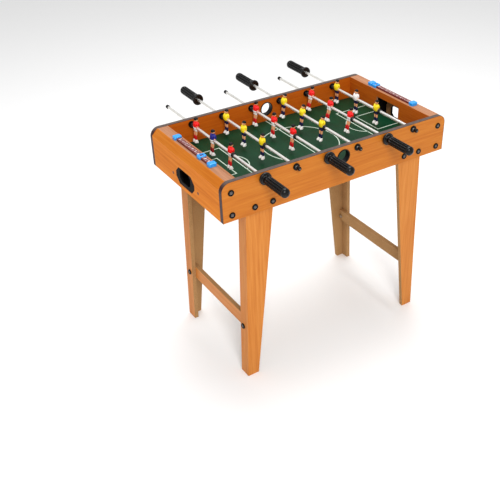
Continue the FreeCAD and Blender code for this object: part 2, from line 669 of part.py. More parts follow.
def save_left_and_right(name, right):
    """Save the right-hand part and its mirror image on the left."""
    right = right if isinstance(right, list) else [right]
    save(f"right_{name}", *right)
    save(f"left_{name}", *[mirrored(solid, X_AXIS) for solid in right])


def save_body():
    front = front_side_board()
    save("front_side_board", front)
    save("back_side_board", mirrored(front, Y_AXIS))
    band = edge_band()
    save("edge_bands", band, mirrored(band, Y_AXIS))
    save_left_and_right("outer_end_panel", right_outer_end_panel())
    save_left_and_right("goal_wall", right_goal_wall())
    save_left_and_right("goal_box", [right_goal_box(), right_return_plate()])
    save("goal_box_screws", *four_corners(goal_screw(-GOAL_SCREW_Y)))
    save_left_and_right("top_slat", right_top_slat())
    save("end_cleats", *four_corners(end_cleat()))
    save("playfield", playfield())
    save("side_board_bolts", *side_board_bolts())
    ring = front_ball_entry_ring()
    save("ball_entry_rings", ring, mirrored(ring, Y_AXIS))
    front_bushings = [front_bushing(x) for x in ROD_XS]
    save("rod_bushings", *(front_bushings + [mirrored(b, Y_AXIS) for b in front_bushings]))
    save_left_and_right("score_scale", score_scale())
    caps = score_end_caps()
    save("score_end_caps", *(caps + [mirrored(cap, X_AXIS) for cap in caps]))
    save("right_score_slider", score_slider(RIGHT_SLIDER_Y))
    save("left_score_slider", mirrored(score_slider(LEFT_SLIDER_Y), X_AXIS))


def save_legs():
    front_right = front_right_leg()
    back_right = [mirrored(solid, Y_AXIS) for solid in front_right]
    save("front_right_leg", *front_right)
    save("back_right_leg", *back_right)
    save("front_left_leg", *[mirrored(solid, X_AXIS) for solid in front_right])
    save("back_left_leg", *[mirrored(solid, X_AXIS) for solid in back_right])
    save_left_and_right("stretcher", right_stretcher())
    save("stretcher_bolts", *stretcher_bolts())
    save("nuts", *nuts())


os.makedirs("parts", exist_ok=True)
save_body()
save_legs()
save_rods()
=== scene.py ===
import math

import bmesh
import bpy
from mathutils import Matrix, Vector


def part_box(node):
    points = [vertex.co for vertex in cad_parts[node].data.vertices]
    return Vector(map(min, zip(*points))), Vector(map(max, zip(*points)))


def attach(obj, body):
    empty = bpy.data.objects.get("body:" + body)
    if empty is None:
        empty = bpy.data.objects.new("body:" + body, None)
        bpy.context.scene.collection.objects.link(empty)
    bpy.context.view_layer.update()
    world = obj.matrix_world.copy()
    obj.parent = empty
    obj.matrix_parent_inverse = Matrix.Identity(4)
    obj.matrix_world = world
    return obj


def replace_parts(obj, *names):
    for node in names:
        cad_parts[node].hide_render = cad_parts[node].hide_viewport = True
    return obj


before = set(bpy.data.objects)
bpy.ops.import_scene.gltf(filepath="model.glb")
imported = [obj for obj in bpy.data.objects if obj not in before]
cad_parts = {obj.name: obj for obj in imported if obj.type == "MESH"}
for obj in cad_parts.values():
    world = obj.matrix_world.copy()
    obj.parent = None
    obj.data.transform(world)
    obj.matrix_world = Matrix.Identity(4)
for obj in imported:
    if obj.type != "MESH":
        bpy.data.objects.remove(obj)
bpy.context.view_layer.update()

# Children's foosball table: materials for the CAD nodes, printed lines and numbers, grooved handles, painted
# figures and capped bolts. X runs along the table, Y from the front long side to the back, Z is up. Metres.

MM = 0.001

# Camera, in front of the table's left end and above it
CAMERA_PLACE = Vector((-1.0601, -1.5493, 1.4677))
CAMERA_TARGET = Vector((-0.1725, -0.272, 0.400))
LENS = 55.5
SHIFT = (-0.1106, 0.018)

# Places read from the frame
PITCH_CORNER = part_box("playfield")[1]
PITCH_TOP = PITCH_CORNER.z
SCALE_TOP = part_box("left_score_scale")[1].z
ROD_HEIGHT = (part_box("rod_1_tube")[0].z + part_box("rod_1_tube")[1].z) / 2

ROD_COUNT = 6
ROD_SPACING = 92.5 * MM
PLAYER_SPACING = 90.5 * MM


# ---------------------------------------------------------------------------------------------------------
# Node graphs
# ---------------------------------------------------------------------------------------------------------

def srgb(red, green, blue):
    """Linear colour from screen values of 0 to 255."""
    def linear(value):
        value /= 255
        return value / 12.92 if value <= 0.04045 else ((value + 0.055) / 1.055) ** 2.4
    return (linear(red), linear(green), linear(blue), 1.0)


class Graph:
    """A material's nodes: a Principled shader, and short calls that make what feeds it."""

    def __init__(self, name, **values):
        self.material = bpy.data.materials.new(name)
        self.material.use_nodes = True
        self.tree = self.material.node_tree
        self.tree.nodes.clear()
        output = self.tree.nodes.new("ShaderNodeOutputMaterial")
        self.shader = self.tree.nodes.new("ShaderNodeBsdfPrincipled")
        self.tree.links.new(self.shader.outputs["BSDF"], output.inputs["Surface"])
        for socket, value in values.items():
            self.set(socket.replace("_", " "), value)

    def node(self, kind, **settings):
        node = self.tree.nodes.new("ShaderNode" + kind)
        for name, value in settings.items():
            setattr(node, name, value)
        return node

    def feed(self, socket, value):
        if isinstance(value, bpy.types.NodeSocket):
            self.tree.links.new(value, socket)
        else:
            socket.default_value = value

    def set(self, name, value):
        self.feed(self.shader.inputs[name], value)

    def place(self, scale=(1, 1, 1), offset=(0, 0, 0)):
        """The point's own place on the piece, in metres, stretched by scale."""
        mapping = self.node("Mapping")
        self.tree.links.new(self.node("TexCoord").outputs["Object"], mapping.inputs["Vector"])
        mapping.inputs["Scale"].default_value = scale
        mapping.inputs["Location"].default_value = offset
        return mapping.outputs["Vector"]

    def axes(self, vector):
        split = self.node("SeparateXYZ")
        self.feed(split.inputs[0], vector)
        return split.outputs

    def normal(self):
        return self.axes(self.node("TexCoord").outputs["Normal"])

    def noise(self, vector, scale=1.0, detail=3.0, roughness=0.5, distortion=0.0):
        node = self.node("TexNoise")
        self.feed(node.inputs["Vector"], vector)
        node.inputs["Scale"].default_value = scale
        node.inputs["Detail"].default_value = detail
        node.inputs["Roughness"].default_value = roughness
        node.inputs["Distortion"].default_value = distortion
        return node.outputs["Fac"]

    def math(self, operation, a, b=0.0):
        node = self.node("Math", operation=operation)
        self.feed(node.inputs[0], a)
        self.feed(node.inputs[1], b)
        return node.outputs[0]

    def distance(self, a, b):
        """Distance of a point from an axis, from how far it is off it in two directions."""
        return self.math("SQRT", self.math("ADD", self.math("POWER", a, 2.0), self.math("POWER", b, 2.0)))

    def span(self, value, low, high, to_low=0.0, to_high=1.0):
        """The value moved from the range of low and high to that of to_low and to_high, and kept in it."""
        node = self.node("MapRange")
        self.feed(node.inputs["Value"], value)
        for name, number in (("From Min", low), ("From Max", high), ("To Min", to_low), ("To Max", to_high)):
            node.inputs[name].default_value = number
        return node.outputs["Result"]

    def mix(self, fac, a, b, blend="MIX"):
        """Mix of two colours. A Mix node has its colour sockets after those for numbers and vectors."""
        node = self.node("Mix", data_type="RGBA", blend_type=blend)
        first, second, result = node.inputs[6], node.inputs[7], node.outputs[2]
        self.feed(node.inputs["Factor"], fac)
        self.feed(first, a)
        self.feed(second, b)
        return result

    def ramp(self, fac, *stops):
        node = self.node("ValToRGB")
        self.feed(node.inputs["Fac"], fac)
        elements = node.color_ramp.elements
        while len(elements) < len(stops):
            elements.new(0.5)
        for element, (position, colour) in zip(elements, stops):
            element.position = position
            element.color = colour
        return node.outputs["Color"]

    def bump(self, height, strength, distance):
        node = self.node("Bump")
        self.feed(node.inputs["Height"], height)
        node.inputs["Strength"].default_value = strength
        node.inputs["Distance"].default_value = distance
        self.set("Normal", node.outputs["Normal"])


def raw_board_colour(g):
    """Bare pressed board: fine pale and dark fibres on khaki."""
    fibres = g.noise(g.place((900, 900, 900)), detail=4, roughness=0.7)
    clouds = g.noise(g.place((22, 22, 22), (3.1, 0.7, 5.2)), detail=4)
    colour = g.ramp(fibres, (0.30, srgb(132, 96, 56)), (0.50, srgb(170, 129, 83)),
                    (0.72, srgb(200, 160, 113)))
    return g.mix(g.span(clouds, 0.3, 0.7, 0.0, 0.35), colour, srgb(152, 111, 69)), fibres


def slat_colour(g):
    """Pinkish sawn wood with its grain along Y."""
    figure, pores = grain(g, (1.2, 0.05, 1.2))
    colour = g.ramp(figure, (0.35, srgb(148, 98, 66)), (0.5, srgb(167, 113, 79)), (0.68, srgb(184, 132, 96)))
    return g.mix(g.span(pores, 0.55, 0.75, 0.0, 0.45), colour, srgb(138, 86, 56)), pores


def grain(g, stretch):
    """Printed wood grain: long streaks in two sizes, with slow waves. stretch is small along the grain."""
    def stretched(amount, offset):
        return g.place(tuple(amount * s for s in stretch), offset)
    waves = g.noise(stretched(34, (1.7, 4.2, 0.3)), detail=3, roughness=0.45, distortion=0.6)
    streaks = g.noise(stretched(190, (9.1, 2.2, 6.5)), detail=5, roughness=0.62, distortion=0.25)
    pores = g.noise(stretched(620, (3.3, 7.7, 1.9)), detail=3, roughness=0.7)
    figure = g.math("ADD", g.math("MULTIPLY", waves, 0.3), g.math("MULTIPLY", streaks, 0.7))
    return figure, pores


def laminate_colour(g, stretch, tint):
    """Orange printed laminate, with its tones multiplied by tint."""
    def tinted(colour):
        return tuple(c * t for c, t in zip(colour, tint)) + (1.0,)
    figure, pores = grain(g, stretch)
    colour = g.ramp(figure, (0.34, tinted(srgb(198, 108, 32))), (0.47, tinted(srgb(209, 120, 39))),
                    (0.58, tinted(srgb(216, 129, 46))), (0.72, tinted(srgb(223, 140, 56))))
    colour = g.mix(g.span(pores, 0.56, 0.76, 0.0, 0.36), colour, tinted(srgb(178, 90, 24)))
    return colour, figure, pores


def outwards(g, along_x, along_y, up=0.0):
    """How far the surface faces away from the table's middle along X and Y, or up, each with its weight."""
    total = None
    normal = g.normal()
    place = g.axes(g.place())
    for axis, weight in ((0, along_x), (1, along_y)):
        if weight:
            part = g.math("MULTIPLY", g.math("MULTIPLY", normal[axis], g.math("SIGN", place[axis])), weight)
            total = part if total is None else g.math("MAXIMUM", total, part)
    if up:
        total = g.math("ADD", total, g.math("MULTIPLY", g.math("MAXIMUM", normal[2], 0.0), up))
    return total


def board(name, stretch, printed_where, tint=(1.0, 1.0, 1.0), bare=raw_board_colour, inside=None, bevel=None,
          shine=0.22):
    """Laminated board: printed grain where the given mask is near 1, and bare board elsewhere.
    inside multiplies the laminate's colour where it faces the table's middle along Y, as painted shade, and
    bevel where it faces up, as painted shade on upward faces."""
    g = Graph(name, IOR=1.45)
    printed, figure, pores = laminate_colour(g, stretch, tint)
    if inside:
        # painted shade: faces turned towards the table's middle along Y are made darker and deeper orange
        inwards = g.span(outwards(g, 0.0, -1.0), 0.4, 0.6)
        printed = g.mix(inwards, printed, inside + (1.0,), blend="MULTIPLY")
    if bevel:
        # painted shade: upward faces are made darker and less orange
        printed = g.mix(g.span(g.normal()[2], 0.3, 0.6), printed, bevel + (1.0,), blend="MULTIPLY")
    raw, fibres = bare(g)
    face = g.span(printed_where(g), 0.80, 0.86)
    g.set("Base Color", g.mix(face, raw, printed))
    smooth = g.span(figure, 0.3, 0.7, 0.50, 0.40)
    rough = g.math("ADD", g.math("MULTIPLY", smooth, face),
                   g.math("MULTIPLY", 0.85, g.math("SUBTRACT", 1.0, face)))
    g.set("Roughness", rough)
    g.set("Specular IOR Level", shine)
    height = g.math("ADD", g.math("MULTIPLY", pores, g.math("MULTIPLY", face, 0.30)),
                    g.math("MULTIPLY", fibres, g.math("SUBTRACT", 1.0, face)))
    g.bump(height, 0.3, 0.0004)
    return g.material


def raw_board():
    g = Graph("raw_board")
    colour, fibres = raw_board_colour(g)
    g.set("Base Color", colour)
    g.set("Roughness", 0.86)
    g.bump(fibres, 0.5, 0.0004)
    return g.material


def bare_wood():
    """Bare top slats."""
    g = Graph("bare_wood")
    colour, pores = slat_colour(g)
    g.set("Base Color", colour)
    g.set("Roughness", g.span(pores, 0.3, 0.7, 0.66, 0.80))
    g.bump(pores, 0.5, 0.0003)
    return g.material


def edge_band():
    """Dark brown plastic edging. Its top is painted lighter and greyer than its ends: painted sheen where it
    faces up, with some dust and rubbing.
    """
    g = Graph("edge_band", IOR=1.5)
    rubbed = g.noise(g.place((90, 90, 90)), detail=5, roughness=0.6)
    grains = g.noise(g.place((1500, 1500, 1500)), detail=2)
    ends = g.mix(g.span(rubbed, 0.35, 0.7), srgb(46, 18, 20), srgb(62, 28, 30))
    # painted sheen, with some dust: the upward faces are lighter and greyer than the ends
    top = g.mix(g.span(rubbed, 0.35, 0.7), srgb(76, 62, 58), srgb(96, 82, 76))
    g.set("Specular IOR Level", 0.2)
    g.set("Base Color", g.mix(g.span(g.normal()[2], 0.55, 0.95), ends, top))
    g.set("Roughness", g.span(rubbed, 0.3, 0.7, 0.34, 0.48))
    g.bump(grains, 0.12, 0.0002)
    return g.material


def pitch():
    """Green printed film on the playfield, its bare board showing at the edges and underneath."""
    g = Graph("pitch", IOR=1.5)
    clouds = g.noise(g.place((9, 9, 9)), detail=4, roughness=0.55)
    blades = g.noise(g.place((420, 420, 420)), detail=4, roughness=0.65)
    green = g.mix(g.span(clouds, 0.35, 0.65), srgb(5, 47, 26), srgb(9, 58, 34))
    green = g.mix(g.span(blades, 0.4, 0.7, 0.0, 0.35), green, srgb(20, 73, 47))
    raw, fibres = raw_board_colour(g)
    up = g.span(g.normal()[2], 0.80, 0.86)
    g.set("Base Color", g.mix(up, raw, green))
    g.set("Roughness", g.mix(up, (0.85,) * 3 + (1.0,), g.span(clouds, 0.3, 0.7, 0.30, 0.42)))
    g.set("Specular IOR Level", 0.12)
    g.bump(blades, 0.15, 0.0002)
    return g.material


FINE_TEXTURE = (1700, 1700, 1700)       # scale of the grains on moulded plastic


def moulded(name, colour, roughness, speckle=0.06, bump=0.10, coat=0.0, shine=0.5):
    """Moulded plastic with a fine texture, faint uneven colour, and roughness that varies with handling."""
    g = Graph(name, IOR=1.5, Coat_Weight=coat, Coat_Roughness=0.12)
    g.set("Specular IOR Level", shine)
    fine = g.noise(g.place(FINE_TEXTURE), detail=3)
    slow = g.noise(g.place((130, 130, 130), (5, 2, 8)), detail=3)
    darker = tuple(c * (1 - 3 * speckle) for c in colour[:3]) + (1.0,)
    lighter = tuple(c + speckle * (0.15 + c) for c in colour[:3]) + (1.0,)
    g.set("Base Color", g.mix(g.span(slow, 0.3, 0.7), darker, lighter))
    g.set("Roughness", g.span(slow, 0.3, 0.7, roughness - 0.06, roughness + 0.08))
    g.bump(fine, bump, 0.0002)
    return g.material


def metal(name, colour, roughness, along=None, metallic=1.0):
    """Bright metal. along stretches its fine scratches: small along the way that they run."""
    g = Graph(name, Metallic=metallic)
    scratches = g.noise(g.place(along or (900, 900, 900)), detail=4, roughness=0.6)
    stains = g.noise(g.place((60, 60, 60)), detail=4)
    dull = tuple(0.86 * c for c in colour[:3]) + (1.0,)
    g.set("Base Color", g.mix(g.span(stains, 0.35, 0.7), colour, dull))
    g.set("Roughness", g.span(scratches, 0.3, 0.7, roughness - 0.05, roughness + 0.08))
    g.bump(scratches, 0.06, 0.0001)
    return g.material


def paint(name, colour, roughness=0.32, shine=0.35):
    """Paint on a moulded figure: thin and slightly uneven."""
    g = Graph(name, IOR=1.5)
    g.set("Specular IOR Level", shine)
    runs = g.noise(g.place((520, 520, 260)), detail=3, roughness=0.6)
    thin = tuple(min(1.0, c * 1.12 + 0.01) for c in colour[:3]) + (1.0,)
    thick = tuple(c * 0.86 for c in colour[:3]) + (1.0,)
    g.set("Base Color", g.mix(g.span(runs, 0.35, 0.65), thick, thin))
    g.set("Roughness", g.span(runs, 0.3, 0.7, roughness, roughness + 0.14))
    g.bump(runs, 0.12, 0.0003)
    return g.material


def print_ink(name, colour, worn):
    """Ink of the lines and numbers, worn thin in places."""
    g = Graph(name, IOR=1.5)
    rubbed = g.noise(g.place((260, 260, 260)), detail=5, roughness=0.7)
    g.set("Base Color", g.mix(g.span(rubbed, 0.52, 0.78, 0.0, 0.5), colour, worn))
    g.set("Roughness", g.span(rubbed, 0.3, 0.7, 0.38, 0.55))
    g.bump(rubbed, 0.1, 0.0001)
    return g.material


# ---------------------------------------------------------------------------------------------------------
# Mesh pieces
# ---------------------------------------------------------------------------------------------------------

def in_scene(name, data):
    """Object of the given name and data, linked to the scene."""
    thing = bpy.data.objects.new(name, data)
    bpy.context.scene.collection.objects.link(thing)
    return thing


def painted(mesh, *materials):
    """The mesh, with these materials in its slots."""
    for material in materials:
        mesh.materials.append(material)
    return mesh


def new_piece(name, mesh, body, place=None):
    """Object in the scene that rides on a body, finished by its mesh's own materials."""
    piece = in_scene(name, mesh)
    if place is not None:
        piece.matrix_world = place
    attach(piece, body)
    return piece


def finished(build, name, smooth=True):
    """Mesh from a bmesh, with its faces turned outwards."""
    bmesh.ops.recalc_face_normals(build, faces=build.faces)
    mesh = bpy.data.meshes.new(name)
    build.to_mesh(mesh)
    build.free()
    if smooth:
        mesh.shade_smooth()
    return mesh


def skin_rings(build, rings, material=0, closed_ends=True):
    """Faces between rings of points that all have the same number of points."""
    loops = [[build.verts.new(p) for p in ring] for ring in rings]
    count = len(loops[0])
    for low, high in zip(loops, loops[1:]):
        for i in range(count):
            j = (i + 1) % count
            build.faces.new((low[i], low[j], high[j], high[i])).material_index = material
    if closed_ends:
        for loop in (loops[0], loops[-1]):
            centre = build.verts.new(sum((v.co for v in loop), Vector()) / count)
            for i in range(count):
                build.faces.new((loop[i], loop[(i + 1) % count], centre)).material_index = material


INK_THICKNESS = 0.08 * MM
SHARPEST_JOINT = 0.2            # a line's joints are drawn out to at most 1 / this of its width


def ribbon(points, width, z, closed=False):
    """Printed line on a level surface: a strip through points of (x, y), with square joints."""
    build = bmesh.new()
    count = len(points)
    rings = []
    for i, point in enumerate(points):
        here = Vector((*point, 0))
        before = Vector((*points[i - 1], 0)) if i or closed else None
        after = Vector((*points[(i + 1) % count], 0)) if i < count - 1 or closed else None
        ways = [(here - before).normalized()] if before is not None else []
        ways += [(after - here).normalized()] if after is not None else []
        way = sum(ways, Vector()).normalized()
        across = Vector((-way.y, way.x, 0))
        across *= width / 2 / max(SHARPEST_JOINT, across.dot(Vector((-ways[0].y, ways[0].x, 0))))
        low, high = Vector((0, 0, z - INK_THICKNESS)), Vector((0, 0, z + INK_THICKNESS))
        rings.append([here + across + low, here - across + low, here - across + high, here + across + high])
    if closed:
        rings.append(rings[0])
    skin_rings(build, rings, closed_ends=not closed)
    if closed:
        bmesh.ops.remove_doubles(build, verts=build.verts, dist=1e-7)
    return finished(build, "ribbon", smooth=False)


def arc(centre, radius, start, end, steps):
    """Points of a round stretch, with angles in degrees."""
    angles = [math.radians(start + (end - start) * i / steps) for i in range(steps + 1)]
    return [(centre[0] + radius * math.cos(a), centre[1] + radius * math.sin(a)) for a in angles]


def join(name, *parts):
    """One mesh from several, keeping their material indices."""
    build = bmesh.new()
    for part in parts:
        build.from_mesh(part)
    mesh = bpy.data.meshes.new(name)
    build.to_mesh(mesh)
    build.free()
    return mesh


# ---------------------------------------------------------------------------------------------------------
# Pitch lines and score numbers
# ---------------------------------------------------------------------------------------------------------

LINE_WIDTH = 2.6 * MM
LINE_END_GAP = 0.5 * MM         # the lines stop this far before the walls
CIRCLE_RADIUS = 105 * MM
BOX_REACH = (193.5 * MM, 98 * MM)
GOAL_AREA_REACH = (227 * MM, 50 * MM)
ARC_RADIUS = 52.5 * MM
ARC_CENTRE = 220.5 * MM
ARC_HALF_TURN = 61


def add_pitch_lines():
    ink = print_ink("line_ink", srgb(196, 212, 196), srgb(120, 150, 126))
    edge = PITCH_CORNER.x - LINE_END_GAP
    side = PITCH_CORNER.y - LINE_END_GAP
    parts = [
        ribbon([(0, -side), (0, side)], LINE_WIDTH, PITCH_TOP),
        ribbon(arc((0, 0), CIRCLE_RADIUS, 0, 360, 60)[:-1], LINE_WIDTH, PITCH_TOP, closed=True),
    ]
    for sign in (-1, 1):
        for reach, half in (BOX_REACH, GOAL_AREA_REACH):
            corners = [(sign * edge, -half), (sign * reach, -half), (sign * reach, half), (sign * edge, half)]
            parts.append(ribbon(corners, LINE_WIDTH, PITCH_TOP))
        middle = 180 if sign > 0 else 0
        bow = arc((sign * ARC_CENTRE, 0), ARC_RADIUS, middle - ARC_HALF_TURN, middle + ARC_HALF_TURN, 24)
        parts.append(ribbon(bow, LINE_WIDTH, PITCH_TOP))
    new_piece("pitch_lines", painted(join("pitch_lines", *parts), ink), "table")


def digit_mesh(text, size, place, turn):
    """Printed number as a very thin mesh."""
    curve = bpy.data.curves.new("number", "FONT")
    curve.body = text
    curve.size = size
    curve.align_x = "CENTER"
    curve.align_y = "CENTER"
    curve.extrude = 0.05 * MM
    holder = in_scene("number", curve)
    bpy.context.view_layer.update()
    mesh = bpy.data.meshes.new_from_object(holder)
    bpy.data.objects.remove(holder)
    mesh.transform(Matrix.Translation(place) @ Matrix.Rotation(math.radians(turn), 4, "Z"))
    return mesh


NUMBER_COUNT = 10
NUMBER_SIZE = 10.5 * MM
DIVIDER_WIDTH = 0.7 * MM
DIVIDER_INSET = 1.5 * MM


def add_score_numbers():
    """Numbers 0 to 9 along each scale, read from the table's end, with a thin line between them."""
    ink = print_ink("number_ink", srgb(244, 236, 232), srgb(196, 150, 146))
    for end, sign in (("left", -1), ("right", 1)):
        low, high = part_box(f"{end}_score_scale")
        step = (high.y - low.y) / NUMBER_COUNT
        x = (low.x + high.x) / 2
        parts = []
        for number in range(NUMBER_COUNT):
            y = low.y + (number + 0.5) * step if sign > 0 else high.y - (number + 0.5) * step
            parts.append(digit_mesh(str(number), NUMBER_SIZE, Vector((x, y, SCALE_TOP)), 90 * sign))
        for i in range(1, NUMBER_COUNT):
            y = low.y + i * step
            ends = [(low.x + DIVIDER_INSET, y), (high.x - DIVIDER_INSET, y)]
            parts.append(ribbon(ends, DIVIDER_WIDTH, SCALE_TOP))
        name = f"{end}_score_numbers"
        new_piece(name, painted(join(name, *parts), ink), "table")


# ---------------------------------------------------------------------------------------------------------
# Handles
# ---------------------------------------------------------------------------------------------------------

def smooth_step(value, low, high):
    """0 up to low, 1 from high on, and a smooth rise between them."""
    t = min(1.0, max(0.0, (value - low) / (high - low)))
    return t * t * (3 - 2 * t)


# Handle, in mm
HANDLE_LENGTH = 95.0
GRIP_RADIUS = 12.0
GRIP_START = 17.0
GRIP_RINGS = 24
GRIP_RING_SPACING = 2.8
DOME_LENGTH = 9.5
DOME_STEPS = 9
DOME_BLUNTNESS = 0.85           # under 1 makes the dome blunter than an ellipse
GROOVES = 12
GROOVE_DEPTH = 3.0
GROOVES_START = (18.0, 21.0)    # along the handle, where the grooves begin and where they reach full depth
GROOVES_END = (81.0, 84.5)      # where they begin to fade and where they end


def handle_profile():
    """(distance from the flange's face, radius) pairs along the handle, in mm."""
    profile = [(0.0, 4.3), (0.0, 9.0), (0.0, 13.6), (0.25, 14.8), (0.9, 15.6), (2.0, 16.0), (4.6, 16.0),
               (5.9, 15.6), (6.6, 14.8), (6.8, 13.4), (6.6, 12.2), (7.2, 10.8), (8.4, 9.9), (10.4, 9.6),
               (13.0, 9.8), (14.4, 10.4), (15.4, 11.3), (16.4, 11.9)]
    profile += [(GRIP_START + GRIP_RING_SPACING * i, GRIP_RADIUS) for i in range(1, GRIP_RINGS + 1)]
    for i in range(1, DOME_STEPS + 1):
        angle = math.radians(90 * i / DOME_STEPS)
        along = HANDLE_LENGTH - DOME_LENGTH + DOME_LENGTH * math.sin(angle)
        profile.append((along, GRIP_RADIUS * math.cos(angle) ** DOME_BLUNTNESS))
    return profile


def groove_depth(along, angle):
    """How deep the grip is cut at a place: narrow rounded grooves that fade out at both ends."""
    window = smooth_step(along, *GROOVES_START) * (1 - smooth_step(along, *GROOVES_END))
    wave = 0.5 - 0.5 * math.cos(GROOVES * angle)
    return GROOVE_DEPTH * window * (1 - smooth_step(wave, 0.18, 0.92))


def handle_mesh():
    """Turned and grooved handle along -Y, with the flange's face at the origin."""
    build = bmesh.new()
    segments = GROOVES * 10
    rings = []
    for along, radius in handle_profile():
        ring = []
        for i in range(segments):
            angle = 2 * math.pi * i / segments
            r = (radius - groove_depth(along, angle)) * MM
            ring.append(Vector((r * math.sin(angle), -along * MM, r * math.cos(angle))))
        rings.append(ring)
    skin_rings(build, rings)
    return finished(build, "handle")


def grip_plastic():
    """Black plastic of the handles: painted shade makes it near black down in the grooves, and the ridges are
    a faintly worn black.
    """
    g = Graph("handle_black", IOR=1.5)
    g.set("Specular IOR Level", 0.28)
    place = g.axes(g.place())
    out = g.distance(place[0], place[2])
    unshaded_ridge = g.span(out, (GRIP_RADIUS - 1.3) * MM, (GRIP_RADIUS - 0.1) * MM)
    slow = g.noise(g.place((130, 130, 130), (5, 2, 8)), detail=3)
    fine = g.noise(g.place(FINE_TEXTURE), detail=3)
    worn = g.mix(g.span(slow, 0.3, 0.7), srgb(10, 10, 11), srgb(20, 20, 21))
    # painted shade: near black wherever the surface lies more than about a millimetre inside the grip's
    # radius, as in the grooves
    g.set("Base Color", g.mix(unshaded_ridge, srgb(1, 1, 1), worn))
    g.set("Roughness", g.span(slow, 0.3, 0.7, 0.25, 0.34))
    g.bump(fine, 0.06, 0.0002)
    return g.material


def add_handles():
    mesh = painted(handle_mesh(), grip_plastic())
    for rod in range(1, ROD_COUNT + 1):
        low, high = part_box(f"rod_{rod}_handle")
        centre = (low + high) / 2
        at_front = centre.y < 0
        flange = high.y if at_front else low.y
        turn = 0 if at_front else math.pi
        place = Matrix.Translation((centre.x, flange, centre.z)) @ Matrix.Rotation(turn, 4, "Z")
        piece = new_piece(f"rod_{rod}_grip", mesh, f"rod_{rod}", place)
        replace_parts(piece, f"rod_{rod}_handle")


# ---------------------------------------------------------------------------------------------------------
# Players
# ---------------------------------------------------------------------------------------------------------

SKIN, HAIR, SHIRT, SHORTS, SOCKS, BOOTS, TRIM = range(7)

# Forward lean of each rod's players at rest, in degrees about +Y
LEANS = (6.0, 4.0, 6.0, 9.0, 13.0, 1.5)

# Heights in mm from the rod's axis at which the paint changes: shirt to shorts, shorts to skin, skin to socks
RED_BANDS = (2.0, -9.0, -20.5)
YELLOW_BANDS = (-3.5, -12.0, -22.0)
BOOT_LINE = -33.5

BOOT_SPLAY = 15                 # degrees
BOOT_PIVOT = (-0.4, 4.9)        # x and y, in mm, of the point that the boot is splayed about


def oval(centre, half_x, half_y, count=20, square=2.0):
    """Level ring of points round a centre, from an ellipse (2) to boxier shapes."""
    points = []
    for i in range(count):
        angle = 2 * math.pi * i / count
        c, s = math.cos(angle), math.sin(angle)
        x = half_x * math.copysign(abs(c) ** (2 / square), c)
        y = half_y * math.copysign(abs(s) ** (2 / square), s)
        points.append(Vector((centre[0] + x, centre[1] + y, centre[2])) * MM)
    return points


def limb(build, stations, material, count=12):
    """Rounded limb through (x, y, z, radius) stations, in mm."""
    points = [Vector(s[:3]) for s in stations]
    rings = []
    for i, point in enumerate(points):
        way = (points[min(i + 1, len(points) - 1)] - points[max(i - 1, 0)]).normalized()
        side = way.cross(Vector((1, 0, 0))).normalized()
        front = side.cross(way).normalized()
        ring = []
        for k in range(count):
            angle = 2 * math.pi * k / count
            ring.append((point + stations[i][3] * (math.cos(angle) * side + math.sin(angle) * front)) * MM)
        rings.append(ring)
    skin_rings(build, rings, material)


def ball(build, centre, radii, material, rings=12, count=18):
    """Rounded lump with the given half sizes, in mm."""
    loops = []
    for i in range(1, rings):
        angle = math.pi * i / rings
        loops.append(oval((centre[0], centre[1], centre[2] - radii[2] * math.cos(angle)),
                          radii[0] * math.sin(angle), radii[1] * math.sin(angle), count))
    skin_rings(build, loops, material)


def column(build, stations, breaks, materials):
    """Upright body through (z, x, half x, half y) stations from the top down, repainted below each break."""
    def ring(station):
        z, x, half_x, half_y = station
        return oval((x, 0, z), half_x, half_y, 22, square=2.3)
    parts = [[stations[0]]]
    left = list(breaks)
    for above, below in zip(stations, stations[1:]):
        while left and above[0] > left[0] >= below[0]:
            part = (above[0] - left[0]) / (above[0] - below[0])
            middle = tuple(p + (q - p) * part for p, q in zip(above, below))
            parts[-1].append(middle)
            parts.append([middle])
            left.pop(0)
        parts[-1].append(below)
    for part, material in zip(parts, materials):
        if len(part) > 1:
            skin_rings(build, [ring(station) for station in part], material)


def boot(build, side):
    """Boot splayed a little outwards: a sole, a rounded toe and a low ankle."""
    spin = Matrix.Rotation(math.radians(BOOT_SPLAY * side), 3, "Z")
    pivot = Vector((BOOT_PIVOT[0], side * BOOT_PIVOT[1], 0)) * MM
    stations = [(-41.5, -4.4, 5.9, 3.0), (-41.1, -4.9, 6.4, 3.4), (-39.4, -5.0, 6.5, 3.7),
                (-37.4, -4.8, 5.6, 3.6), (-35.4, -4.3, 3.8, 3.2), (-33.6, -3.7, 2.7, 2.8),
                (-32.6, -3.4, 2.3, 2.5)]
    loops = []
    for z, back, front, half in stations:
        ring = oval(((back + front) / 2, 0, z), (front - back) / 2, half, 16, square=2.6)
        loops.append([spin @ p + pivot for p in ring])
    skin_rings(build, loops, BOOTS)


